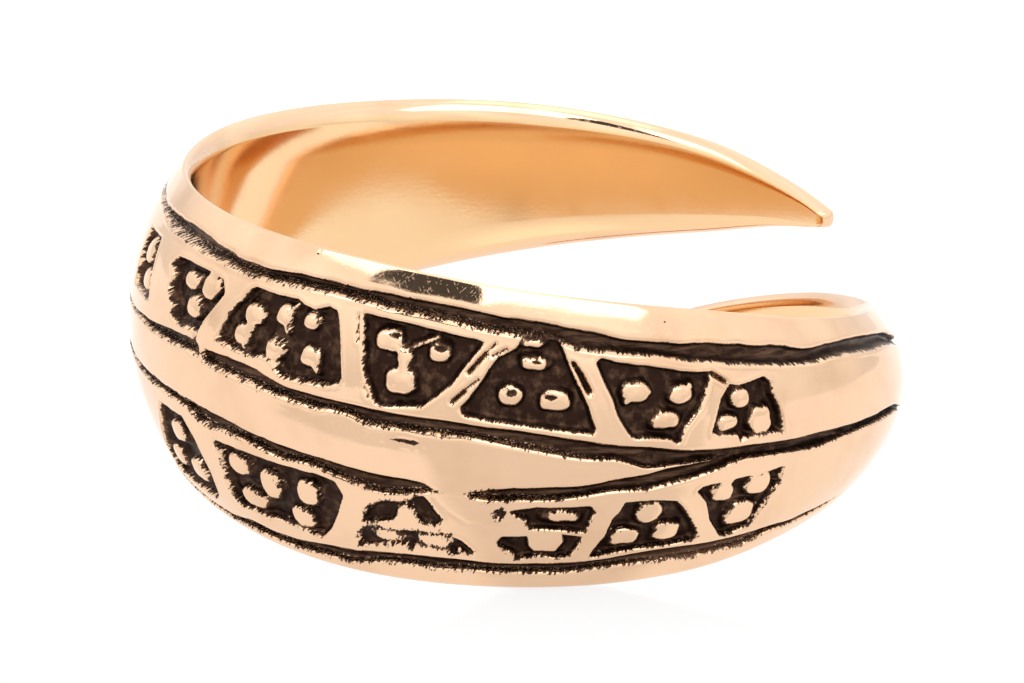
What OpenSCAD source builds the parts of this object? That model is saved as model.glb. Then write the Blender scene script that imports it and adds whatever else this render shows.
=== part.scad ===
// Adjustable open ring, cast in one piece.
// Lengths are in millimetres. +Z is up, along the finger hole's axis, and Z = 0 is
// the surface that the ring stands on. The middle of the front faces -Y.
// Angles are in degrees round the finger hole from the middle of the front:
// minus goes to the left arm (-X), plus goes to the right arm (+X).

/* [Finger hole] */
// radius of the round finger hole
bore_radius = 9; // [7.5:0.1:11]

/* [Band] */
// radial thickness at the band's two thin edges
edge_thickness = 0.45; // [0.3:0.05:0.8]
// fullness of the domed outside: 2 is a plain arc, more is flatter
dome_power = 2.2; // [1.8:0.1:3]
// height of the band's middle plane above the surface it stands on
stand_height = 3.73; // [3.5:0.01:4.5]
// angle between two drawn sections of the band
section_step = 3; // [3:0.5:6]

/* [Relief] */
// depth of the deepest groove
groove_depth = 0.32; // [0.1:0.02:0.4]
// depth of the cells below the land round them
cell_depth = 0.3; // [0.1:0.02:0.4]
// how far the tops of the pellets lie below the land
pellet_drop = 0.03; // [0.01:0.01:0.1]
// size of the pellets against the sizes in the table
pellet_scale = 1; // [0.7:0.05:1.1]

/* [Hidden] */
$fn = 96;

// Band, a row per section from the left arm's end to the right arm's end.
// Heights are above the middle plane.
// [angle, height of the band's middle, half width, thickness at the crown]
BAND = [
    [-210, 2.96, 0.22, 0.54],
    [-195, 2.88, 0.73, 0.60],
    [-180, 2.75, 1.27, 0.69],
    [-150, 2.42, 2.00, 0.95],
    [-120, 2.01, 2.59, 1.21],
    [-90, 1.58, 3.17, 1.45],
    [-60, 1.17, 3.60, 1.65],
    [-30, 0.82, 3.98, 1.79],
    [0, 0.54, 4.21, 1.81],
    [30, 0.33, 4.02, 1.68],
    [60, 0.18, 3.55, 1.51],
    [90, 0.06, 2.67, 1.40],
    [120, -0.19, 1.98, 1.31],
    [150, -0.75, 1.56, 1.16],
    [165, -1.17, 1.32, 1.03],
    [180, -1.75, 1.06, 0.88],
    [195, -2.42, 0.65, 0.70],
    [206, -2.95, 0.24, 0.54]
];

// Grooves, a row per place along each one, from the upper border down.
// [angle, height of its middle, half width, depth as a share of groove_depth]
UPPER_BORDER = [
    [-140, 3.70, 0.10, 0.0], [-110, 3.98, 0.12, 0.4], [-60, 4.13, 0.13, 0.7],
    [-40, 4.10, 0.15, 0.8], [-33, 4.11, 0.19, 1.0], [-15, 3.98, 0.14, 0.9],
    [-5, 4.05, 0.15, 0.9], [5, 4.00, 0.14, 0.9], [15, 3.88, 0.18, 1.0],
    [25, 3.69, 0.21, 1.0], [35, 3.48, 0.20, 1.0], [45, 3.15, 0.20, 1.0],
    [55, 2.92, 0.20, 1.0], [65, 2.67, 0.25, 1.0], [75, 2.39, 0.24, 1.0],
    [90, 2.09, 0.17, 0.9], [100, 1.82, 0.18, 0.8], [110, 1.49, 0.18, 0.7],
    [120, 0.97, 0.17, 0.6], [135, 0.20, 0.12, 0.3], [150, -0.35, 0.10, 0.0]
];
UPPER_RIDGE = [
    [-140, 2.35, 0.06, 0.0], [-110, 1.82, 0.07, 0.4], [-95, 1.63, 0.07, 0.6],
    [-60, 1.45, 0.10, 0.7], [-45, 1.48, 0.10, 0.7], [-35, 1.52, 0.12, 0.8],
    [-25, 1.58, 0.17, 0.9], [-15, 1.43, 0.20, 1.0], [-5, 1.20, 0.16, 0.9],
    [5, 1.10, 0.16, 0.9], [10, 1.00, 0.20, 1.0], [20, 0.92, 0.20, 1.0],
    [30, 0.78, 0.22, 1.0], [40, 0.52, 0.24, 1.0], [50, 0.24, 0.22, 1.0],
    [60, 0.17, 0.14, 1.0], [65, 0.18, 0.09, 1.0], [75, 0.12, 0.09, 1.0],
    [90, 0.05, 0.06, 0.8], [100, -0.02, 0.06, 0.7], [110, -0.33, 0.06, 0.6],
    [120, -0.83, 0.06, 0.5], [135, -1.08, 0.05, 0.2], [150, -1.20, 0.05, 0.0]
];
LOWER_RIDGE = [
    [-140, 2.21, 0.06, 0.0], [-110, 1.66, 0.07, 0.4], [-95, 1.45, 0.07, 0.6],
    [-60, 0.45, 0.10, 0.7], [-45, 0.14, 0.10, 0.7], [-35, 0.07, 0.12, 0.8],
    [-25, -0.03, 0.12, 0.9], [-20, -0.12, 0.15, 0.9], [-15, -0.20, 0.16, 1.0],
    [-5, -0.42, 0.16, 1.0], [0, -0.50, 0.14, 0.9], [5, -0.63, 0.18, 0.9],
    [10, -0.80, 0.24, 1.0], [15, -0.82, 0.20, 0.8], [19, -0.80, 0.12, 0.3],
    [21, -0.80, 0.10, 0.05], [24, -0.82, 0.10, 0.05], [27, -0.84, 0.15, 0.6],
    [35, -0.74, 0.18, 0.9], [40, -0.67, 0.17, 1.0], [50, -0.43, 0.20, 1.0],
    [55, -0.28, 0.20, 1.0], [60, -0.15, 0.14, 1.0], [65, -0.02, 0.09, 1.0],
    [75, -0.08, 0.09, 1.0], [90, -0.09, 0.06, 0.8], [100, -0.16, 0.06, 0.7],
    [110, -0.47, 0.06, 0.6], [120, -0.97, 0.06, 0.5], [135, -1.20, 0.05, 0.2],
    [150, -1.32, 0.05, 0.0]
];
LOWER_BORDER = [
    [-140, 0.40, 0.06, 0.0], [-90, -1.25, 0.06, 0.1], [-60, -2.15, 0.08, 0.3],
    [-40, -2.65, 0.09, 0.5], [-20, -3.08, 0.10, 0.7], [-10, -3.17, 0.13, 0.7],
    [0, -3.20, 0.15, 0.7], [10, -3.08, 0.16, 0.7], [20, -3.02, 0.17, 0.7],
    [30, -3.05, 0.15, 0.7], [40, -2.95, 0.16, 0.7], [50, -2.75, 0.17, 0.7],
    [60, -2.68, 0.18, 0.7], [70, -2.54, 0.16, 0.6], [77, -2.36, 0.07, 0.4],
    [90, -2.19, 0.06, 0.1], [98, -2.12, 0.06, 0.0], [120, -1.80, 0.06, 0.0],
    [150, -1.95, 0.05, 0.0]
];

// Cells, a row per cell: its outline, [angle, height] per corner, and the pellets
// left standing in it, [angle, height, radius] each.
CELLS = [
    [[[-51, 3.45], [-43, 3.55], [-39.6, 2.02], [-49.5, 2.05]],
     [[-46.2, 3.05, 0.33], [-43.2, 2.45, 0.3]]],
    [[[-35.3, 3.35], [-34, 3.52], [-24, 3.55], [-20.3, 3.48], [-19.3, 3.2], [-22.8, 2.05],
      [-30.7, 2.0], [-33.6, 2.75]],
     [[-28.4, 3.13, 0.26], [-23.2, 3.18, 0.34], [-25.6, 2.55, 0.31]]],
    [[[-18.5, 2.0], [-17.2, 2.75], [-15, 3.25], [-13.8, 3.57], [-4.4, 3.57], [-4.4, 1.57],
      [-5.6, 1.57], [-7.6, 1.95]],
     [[-12.4, 2.95, 0.3], [-13.1, 2.35, 0.3], [-6.3, 3.05, 0.3], [-6.8, 2.2, 0.31]]],
    [[[-4.7, 3.52], [1.8, 3.55], [3.2, 3.0], [4.7, 1.9], [3.8, 1.6], [-4.7, 1.62]],
     [[-1.5, 3.1, 0.26], [-0.2, 2.22, 0.32]]],
    [[[6.2, 3.58], [15, 3.43], [25.3, 3.2], [22.5, 2.45], [17, 1.42], [10.3, 1.34],
      [8.4, 1.95], [7, 2.9]],
     [[11.1, 2.98, 0.34], [18.8, 2.82, 0.28], [13.6, 2.0, 0.37], [13.6, 2.6, 0.2]]],
    [[[30.2, 3.1], [36.8, 3.05], [38.6, 2.45], [40.7, 1.75], [41.9, 1.05], [41.5, 0.92],
      [30, 1.12], [23, 1.25], [22.3, 1.45], [25.6, 2.3], [27.4, 2.8]],
     [[32.8, 2.7, 0.26], [29.5, 1.86, 0.29], [36, 1.78, 0.33]]],
    [[[41.9, 2.76], [50, 2.6], [60.2, 2.3], [59.4, 1.9], [57, 1.2], [55.2, 0.7],
      [47.7, 0.76], [45.2, 1.4], [43, 2.25]],
     [[48.1, 1.94, 0.33], [55.2, 1.83, 0.3], [52.5, 1.18, 0.28]]],
    [[[63.3, 1.93], [70.3, 1.96], [71.3, 1.55], [72.7, 1.0], [73, 0.5], [65, 0.5],
      [60, 0.7], [60.8, 1.2], [61.6, 1.6]],
     [[65.3, 1.55, 0.27], [62.9, 0.94, 0.25], [68.7, 0.92, 0.37]]],
    [[[-33.5, -0.45], [-26, -0.5], [-23.3, -1.0], [-21.2, -1.8], [-21.3, -2.45],
      [-23, -2.65], [-36.5, -2.2], [-36.5, -1.6]],
     [[-29, -1.05, 0.33], [-25.6, -1.98, 0.32], [-31.8, -1.7, 0.28]]],
    [[[-18.2, -0.78], [-10, -0.8], [-5.5, -0.86], [-5.5, -2.58], [-15.3, -2.53],
      [-17.5, -2.1], [-17.4, -1.2]],
     [[-13.5, -1.23, 0.33], [-12.1, -2.1, 0.35], [-7.7, -1.55, 0.33]]],
    [[[-5.8, -0.92], [1, -0.88], [4.2, -1.02], [5.3, -1.38], [4.2, -2.0], [2.6, -2.5],
      [0.6, -2.75], [-5.8, -2.53]],
     [[-0.7, -1.5, 0.34], [-2.4, -2.28, 0.33]]],
    [[[8.4, -1.92], [9.8, -1.38], [15.5, -1.2], [17.6, -1.1], [18.8, -1.3], [20.4, -1.7],
      [19.8, -1.85]],
     [[15.3, -1.72, 0.3]]],
    [[[6.9, -2.72], [7.6, -2.3], [9.2, -2.12], [22.3, -2.1], [25.1, -2.6], [24.4, -2.74]],
     [[12.2, -2.3, 0.32], [19.5, -2.32, 0.34]]],
    [[[30.3, -1.25], [33.5, -1.15], [41.8, -1.12], [42.5, -1.3], [41.5, -1.82],
      [33, -1.8], [32.6, -1.48]],
     [[37.6, -1.4, 0.26]]],
    [[[28.5, -2.2], [29.4, -2.04], [41, -2.0], [40.4, -2.35], [39.3, -2.6],
      [31.1, -2.7], [30.6, -2.5]],
     [[35.8, -2.2, 0.35]]],
    [[[47, -1.0], [55.2, -1.05], [57.4, -1.5], [59.5, -2.15], [58.8, -2.3], [50, -2.4],
      [42.8, -2.55], [44.5, -2.0], [45.4, -1.5]],
     [[51, -1.35, 0.33], [47.5, -2.05, 0.33], [54.3, -1.93, 0.32]]],
    [[[58.4, -0.85], [60.5, -0.72], [64.8, -0.62], [73.4, -0.5], [73, -0.95],
      [70.5, -1.7], [69, -2.08], [65.2, -2.25], [61.3, -1.75], [60, -1.2]],
     [[62.8, -0.98, 0.28], [69.1, -0.88, 0.35], [66.7, -1.65, 0.35]]]
];

// value of column k at angle a, on a smooth curve through a table's rows
function span(t, a, i = 0) =
    i >= len(t) - 2 || a <= t[i + 1][0] ? i : span(t, a, i + 1);
function slope(t, i, k) =
    let(p = max(i - 1, 0), q = min(i + 1, len(t) - 1))
    (t[q][k] - t[p][k]) / (t[q][0] - t[p][0]);
function along(t, a, k) =
    let(
        i = span(t, a),
        w = t[i + 1][0] - t[i][0],
        u = max(0, min(1, (a - t[i][0]) / w))
    )
    (2 * pow(u, 3) - 3 * pow(u, 2) + 1) * t[i][k]
        + (pow(u, 3) - 2 * pow(u, 2) + u) * w * slope(t, i, k)
        + (3 * pow(u, 2) - 2 * pow(u, 3)) * t[i + 1][k]
        + (pow(u, 3) - pow(u, 2)) * w * slope(t, i + 1, k);

// radius of the domed outside at an angle and a height, without relief
function skin(a, z) =
    let(q = min(1, abs(z - along(BAND, a, 1)) / along(BAND, a, 2)))
    bore_radius + edge_thickness
        + (along(BAND, a, 3) - edge_thickness) * (1 - pow(q, dome_power));

function mix(p, q, u) = p + (q - p) * u;

// 1 where the band carries relief, falling to 0 on the plain ends of the arms
function relief(a) = a < 0 ? max(0, min(1, (a + 140) / 30)) : max(0, min(1, (150 - a) / 25));

// the four points across a groove, [height, depth], from its upper edge down
function groove(t, a) =
    let(
        z = along(t, a, 1), w = along(t, a, 2),
        d = groove_depth * max(0, along(t, a, 3))
    )
    [[z + w, 0], [z + 0.5 * w, d], [z - 0.5 * w, d], [z - w, 0]];

// how much of the middle ridge still stands between its two grooves
function ridge_rise(a) =
    let(gap = along(UPPER_RIDGE, a, 1) - along(UPPER_RIDGE, a, 2)
            - along(LOWER_RIDGE, a, 1) - along(LOWER_RIDGE, a, 2))
    max(0, min(1, gap / 0.25));

// points across the outside of one section, [height, depth], from the top edge down
function relief_points(a) =
    let(
        hi = along(BAND, a, 1) + along(BAND, a, 2),
        lo = along(BAND, a, 1) - along(BAND, a, 2),
        g1 = groove(UPPER_BORDER, a), g2 = groove(UPPER_RIDGE, a),
        g3 = groove(LOWER_RIDGE, a), g4 = groove(LOWER_BORDER, a),
        sunk = (1 - ridge_rise(a)) * min(g2[1][1], g3[1][1]),
        mid = (g2[3][0] + g3[0][0]) / 2,
        half_gap = max(0.02, (g2[3][0] - g3[0][0]) / 2)
    )
    [
        [hi, 0], [mix(hi, g1[0][0], 0.5), 0],
        g1[0], g1[1], g1[2], g1[3],
        [mix(g1[3][0], g2[0][0], 1 / 3), 0], [mix(g1[3][0], g2[0][0], 2 / 3), 0],
        g2[0], g2[1], g2[2], [mid + half_gap, sunk],
        [mid, sunk],
        [mid - half_gap, sunk], g3[1], g3[2], g3[3],
        [mix(g3[3][0], g4[0][0], 1 / 3), 0], [mix(g3[3][0], g4[0][0], 2 / 3), 0],
        g4[0], g4[1], g4[2], g4[3],
        [mix(g4[3][0], lo, 0.5), 0], [lo, 0]
    ];
ACROSS = 25;

// one closed section of the band: outside from the top edge down, then the inside
function section(a) =
    let(
        hi = along(BAND, a, 1) + along(BAND, a, 2),
        lo = along(BAND, a, 1) - along(BAND, a, 2),
        w = relief(a), pts = relief_points(a)
    )
    concat(
        [for (i = [0 : ACROSS - 1])
            let(z = mix(mix(hi, lo, i / (ACROSS - 1)), pts[i][0], w))
            [skin(a, z) - w * pts[i][1], z]],
        [[bore_radius + 0.16, lo], [bore_radius - 0.6, lo],
         [bore_radius - 0.6, hi], [bore_radius + 0.16, hi]]
    );

function round_axis(p, a) = [p[0] * sin(a), -p[0] * cos(a), p[1]];

FIRST = BAND[0][0];
LAST = BAND[len(BAND) - 1][0];
STEPS = round((LAST - FIRST) / section_step);
RING_POINTS = ACROSS + 4;

module band_blank() {
    sections = [for (k = [0 : STEPS]) let(a = FIRST + (LAST - FIRST) * k / STEPS)
        [for (p = section(a)) round_axis(p, a)]];
    sides = [for (k = [0 : STEPS - 1], i = [0 : RING_POINTS - 1])
        let(j = (i + 1) % RING_POINTS)
        [k * RING_POINTS + i, (k + 1) * RING_POINTS + i,
         (k + 1) * RING_POINTS + j, k * RING_POINTS + j]];
    ends = [[for (i = [0 : RING_POINTS - 1]) i],
            [for (i = [RING_POINTS - 1 : -1 : 0]) STEPS * RING_POINTS + i]];
    polyhedron(points = [for (s = sections, p = s) p], faces = concat(sides, ends),
        convexity = 8);
}

// a cell's hollow: the outline driven in from outside, down to a floor that follows
// the band, round the pellets that stay
module cell(outline, pellets) {
    angles = [for (p = outline) p[0]];
    heights = [for (p = outline) p[1]];
    a0 = (max(angles) + min(angles)) / 2;
    top = max(heights);
    low = min(heights);
    floor_heights = [for (k = [0 : 6]) mix(low - 0.31, top + 0.27, k / 6)];
    difference() {
        rotate([0, 0, a0]) translate([0, -bore_radius, 0]) rotate([90, 0, 0])
            linear_extrude(height = 4)
                polygon([for (p = outline) [skin(p[0], p[1]) * sin(p[0] - a0), p[1]]]);
        rotate_extrude()
            polygon(concat([[0, floor_heights[0]]],
                [for (z = floor_heights) [skin(a0, z) - cell_depth, z]],
                [[0, floor_heights[6]]]));
        for (p = pellets)
            let(r = p[2] * pellet_scale)
                rotate([0, 0, p[0]])
                    translate([0, -(skin(p[0], p[1]) - pellet_drop - r), p[1]])
                        sphere(r = r);
    }
}

module ring_band() {
    color([0.80, 0.56, 0.38])
        translate([0, 0, stand_height])
            difference() {
                band_blank();
                translate([0, 0, -stand_height - 1])
                    cylinder(h = 2 * stand_height + 4, r = bore_radius);
                for (c = CELLS) cell(c[0], c[1]);
            }
}

ring_band();
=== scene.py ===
import math

import bmesh
import bpy
import numpy as np
from mathutils import Matrix, Vector, noise


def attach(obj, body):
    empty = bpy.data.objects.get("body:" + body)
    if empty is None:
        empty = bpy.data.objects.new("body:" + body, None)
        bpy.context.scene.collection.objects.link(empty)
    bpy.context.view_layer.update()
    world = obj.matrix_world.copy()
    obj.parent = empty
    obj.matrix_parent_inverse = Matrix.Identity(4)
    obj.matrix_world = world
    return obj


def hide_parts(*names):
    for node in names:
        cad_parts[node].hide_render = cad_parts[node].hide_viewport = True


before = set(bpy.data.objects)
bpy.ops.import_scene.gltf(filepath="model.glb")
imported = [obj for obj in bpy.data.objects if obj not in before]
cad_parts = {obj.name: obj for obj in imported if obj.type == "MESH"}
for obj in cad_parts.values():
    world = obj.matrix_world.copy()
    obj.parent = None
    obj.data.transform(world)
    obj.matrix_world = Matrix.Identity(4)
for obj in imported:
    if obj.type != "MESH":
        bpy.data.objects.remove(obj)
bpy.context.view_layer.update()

# Camera
# It stands where the photographer stood: to the right of the front and a little above,
# a third of a metre away behind a long lens, tipped by the same small angle.
MM = 0.001
STAND_HEIGHT = 3.73  # mm from the surface up to the band's middle plane
CAMERA_AZIMUTH = math.radians(31.13)
CAMERA_ELEVATION = math.radians(15.97)
CAMERA_TIP = math.radians(2.78)
CAMERA_DISTANCE = 347.0  # mm
LENS = 451.8  # mm, on a 36 mm wide sensor
AIM_LEFT, AIM_UP = 0.303, 0.364  # mm from the band's middle to the picture's middle

toward_camera = Vector((
    math.sin(CAMERA_AZIMUTH) * math.cos(CAMERA_ELEVATION),
    -math.cos(CAMERA_AZIMUTH) * math.cos(CAMERA_ELEVATION),
    math.sin(CAMERA_ELEVATION),
))
level_right = Vector((math.cos(CAMERA_AZIMUTH), math.sin(CAMERA_AZIMUTH), 0))
level_up = toward_camera.cross(level_right)
view_right = math.cos(CAMERA_TIP) * level_right + math.sin(CAMERA_TIP) * level_up
view_up = math.cos(CAMERA_TIP) * level_up - math.sin(CAMERA_TIP) * level_right
aim = Vector((0, 0, STAND_HEIGHT)) - AIM_LEFT * view_right + AIM_UP * view_up

camera_data = bpy.data.cameras.new("camera")
camera_data.sensor_width = 36
camera_data.lens = LENS
camera_data.clip_start = 0.01
camera_data.clip_end = 10
camera = bpy.data.objects.new("camera", camera_data)
turn = Matrix((view_right, view_up, toward_camera)).transposed().to_4x4()
camera.matrix_world = Matrix.Translation((aim + toward_camera * CAMERA_DISTANCE) * MM) @ turn
bpy.context.scene.collection.objects.link(camera)
bpy.context.scene.camera = camera

# The band's form
# One cast piece of bronze: a domed band, widest in front, that tapers into two arms and
# is bent round the finger until the arms pass each other at the back.
FINGER_RADIUS = 9.0  # mm
EDGE_THICKNESS = 0.45  # mm
DOME_POWER = 2.2

# A row per section, from the left arm's end to the right arm's end. Heights are in mm
# above the middle plane.
# (angle, height of the band's middle, half width, thickness at the crown)
BAND = [
    (-210, 2.96, 0.22, 0.54), (-195, 2.88, 0.73, 0.60), (-180, 2.75, 1.27, 0.69),
    (-150, 2.42, 2.00, 0.95), (-120, 2.01, 2.59, 1.21), (-90, 1.58, 3.17, 1.45),
    (-60, 1.17, 3.60, 1.65), (-30, 0.82, 3.98, 1.79), (0, 0.54, 4.21, 1.81),
    (30, 0.33, 4.02, 1.68), (60, 0.18, 3.55, 1.51), (90, 0.06, 2.67, 1.40),
    (120, -0.19, 1.98, 1.31), (150, -0.75, 1.56, 1.16), (165, -1.17, 1.32, 1.03),
    (180, -1.75, 1.06, 0.88), (195, -2.42, 0.65, 0.70), (206, -2.95, 0.24, 0.54),
]
FIRST_ANGLE, LAST_ANGLE = BAND[0][0], BAND[-1][0]


def along(table, column, angle):
    """A column of a table at an angle, on a smooth curve through its rows."""
    rows = np.array(table, float)
    at, value = rows[:, 0], rows[:, column]
    slope = np.gradient(value, at)
    slope[1:-1] = (value[2:] - value[:-2]) / (at[2:] - at[:-2])
    i = np.clip(np.searchsorted(at, angle) - 1, 0, len(at) - 2)
    width = at[i + 1] - at[i]
    u = np.clip((angle - at[i]) / width, 0, 1)
    return ((2 * u**3 - 3 * u**2 + 1) * value[i] + (u**3 - 2 * u**2 + u) * width * slope[i]
            + (3 * u**2 - 2 * u**3) * value[i + 1] + (u**3 - u**2) * width * slope[i + 1])


def ease(low, high, value):
    """0 below low, 1 above high, and a smooth step between them."""
    t = np.clip((value - low) / (high - low), 0, 1)
    return t * t * (3 - 2 * t)


def skin(angle, height):
    """Radius of the domed outside, without relief."""
    share = np.abs(height - along(BAND, 1, angle)) / along(BAND, 2, angle)
    dome = 1 - np.minimum(share, 1) ** DOME_POWER
    return FINGER_RADIUS + EDGE_THICKNESS + (along(BAND, 3, angle) - EDGE_THICKNESS) * dome


# The grooves
# Four lines cut into the wax before casting: one inside each border, and two that frame
# the plain middle ridge and meet at its points.
# A row per place along a groove, heights in mm above the middle plane.
# (angle, upper edge, lower edge, how much of the full depth is left)
UPPER_BORDER = [
    (-140, 3.78, 3.62, 0.0), (-110, 4.08, 3.88, 0.6), (-60, 4.22, 4.04, 0.9),
    (-50, 4.20, 4.05, 0.9), (-40, 4.25, 3.95, 1), (-33, 4.30, 3.92, 1), (-25, 4.20, 3.90, 1),
    (-15, 4.10, 3.85, 1), (-5, 4.20, 3.90, 1), (5, 4.13, 3.87, 1), (10, 4.10, 3.75, 1),
    (15, 4.05, 3.70, 1), (20, 4.00, 3.60, 1), (25, 3.90, 3.48, 1), (30, 3.78, 3.38, 1),
    (35, 3.68, 3.28, 1), (40, 3.53, 3.06, 1), (45, 3.35, 2.95, 1), (50, 3.22, 2.87, 1),
    (55, 3.12, 2.72, 1), (60, 3.05, 2.55, 1), (65, 2.92, 2.42, 1), (70, 2.78, 2.28, 1),
    (75, 2.64, 2.15, 1), (80, 2.43, 2.03, 1), (90, 2.26, 1.93, 1), (100, 2.00, 1.64, 1),
    (110, 1.67, 1.31, 0.9), (120, 1.14, 0.79, 0.8), (135, 0.34, 0.06, 0.5),
    (150, -0.25, -0.45, 0),
]
UPPER_RIDGE = [
    (-140, 2.41, 2.29, 0), (-110, 1.89, 1.75, 0.6), (-95, 1.70, 1.56, 0.8),
    (-60, 1.52, 1.38, 0.8), (-45, 1.53, 1.40, 0.9), (-35, 1.65, 1.40, 1), (-30, 1.73, 1.40, 1),
    (-25, 1.75, 1.42, 1), (-22.3, 1.68, 1.34, 1), (-21.5, 1.67, 1.33, 0.15),
    (-20.7, 1.66, 1.31, 1), (-20, 1.65, 1.30, 1), (-15, 1.65, 1.22, 1), (-10, 1.58, 1.15, 1),
    (-5, 1.35, 1.05, 1), (0, 1.30, 0.97, 1), (5, 1.25, 0.95, 1), (10, 1.20, 0.75, 1),
    (15, 1.15, 0.75, 1), (20, 1.13, 0.70, 1), (25, 1.05, 0.70, 1), (30, 1.00, 0.55, 1),
    (35, 0.88, 0.40, 1), (40, 0.75, 0.25, 1), (45, 0.60, 0.20, 1), (50, 0.50, -0.05, 1),
    (55, 0.38, 0.00, 1), (60, 0.30, 0.00, 1), (65, 0.28, -0.02, 1), (70, 0.25, -0.04, 1),
    (75, 0.20, -0.08, 1), (80, 0.21, -0.08, 1), (90, 0.10, -0.11, 1), (100, 0.03, -0.18, 1),
    (105, -0.07, -0.26, 1), (110, -0.29, -0.48, 0.9), (120, -0.79, -0.97, 0.8),
    (135, -1.02, -1.16, 0.5), (150, -1.15, -1.27, 0),
]
LOWER_RIDGE = [
    (-140, 2.27, 2.15, 0), (-110, 1.73, 1.59, 0.6), (-95, 1.52, 1.38, 0.8),
    (-60, 0.55, 0.38, 0.8), (-45, 0.24, 0.05, 0.9), (-40, 0.20, 0.00, 1), (-30, 0.15, -0.05, 1),
    (-25, 0.08, -0.13, 1), (-20, 0.05, -0.40, 1), (-15, -0.03, -0.37, 1),
    (-10, -0.16, -0.45, 1), (-5, -0.27, -0.65, 1), (0, -0.36, -0.62, 1), (5, -0.46, -0.87, 1),
    (10, -0.55, -1.05, 1), (15, -0.60, -1.03, 1), (18, -0.64, -1.00, 0.8),
    (19.3, -0.68, -0.98, 0.5), (20.5, -0.70, -0.98, 0.1), (22.5, -0.71, -0.98, 0.1),
    (24, -0.72, -1.00, 0.5), (25.5, -0.71, -1.00, 0.85), (30, -0.62, -0.96, 1),
    (35, -0.55, -0.92, 1), (40, -0.50, -0.83, 1), (45, -0.35, -0.70, 1), (50, -0.21, -0.65, 1),
    (55, -0.05, -0.50, 1), (60, 0.02, -0.32, 1), (65, 0.20, -0.12, 1),
    (70, 0.10, -0.10, 1), (75, 0.05, -0.15, 1), (80, 0.05, -0.17, 1), (90, 0.00, -0.14, 1),
    (100, -0.05, -0.21, 1), (105, -0.15, -0.28, 1), (110, -0.35, -0.50, 0.9),
    (120, -0.85, -1.00, 0.8), (135, -1.05, -1.18, 0.5), (150, -1.17, -1.29, 0),
]
LOWER_BORDER = [
    (-140, 0.45, 0.35, 0), (-90, -1.18, -1.32, 0.4), (-60, -2.07, -2.23, 0.6),
    (-40, -2.57, -2.73, 0.8), (-20, -3.00, -3.17, 0.9), (-15, -2.97, -3.22, 1),
    (-10, -3.05, -3.30, 1), (-5, -3.10, -3.35, 1), (0, -3.05, -3.37, 1), (5, -3.00, -3.40, 1),
    (10, -2.92, -3.25, 1), (15, -2.87, -3.20, 1), (20, -2.85, -3.20, 1), (30, -2.90, -3.20, 1),
    (35, -2.85, -3.17, 1), (40, -2.80, -3.12, 1), (45, -2.72, -3.00, 1), (50, -2.57, -2.93, 1),
    (55, -2.48, -2.90, 1), (60, -2.47, -2.86, 1), (65, -2.43, -2.80, 1), (70, -2.36, -2.74, 1),
    (75, -2.29, -2.48, 0.95), (80, -2.25, -2.44, 0.9), (90, -2.12, -2.25, 0.8),
    (96, -2.08, -2.16, 0.3), (100, -2.05, -2.12, 0), (120, -1.77, -1.83, 0),
    (150, -1.92, -1.98, 0),
]
GROOVES = [UPPER_BORDER, UPPER_RIDGE, LOWER_RIDGE, LOWER_BORDER]
GROOVE_DEPTH = 0.30  # mm
GROOVE_CLOSING = 0.22  # mm that each edge draws in where none of the depth is left


def groove_reach(table, angle, height):
    """How far inside a groove a place lies, in mm: above 0 in it, below 0 beside it."""
    closing = (1 - along(table, 3, angle)) * GROOVE_CLOSING
    upper, lower = along(table, 1, angle), along(table, 2, angle)
    return np.minimum(upper - height, height - lower) - closing


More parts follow.
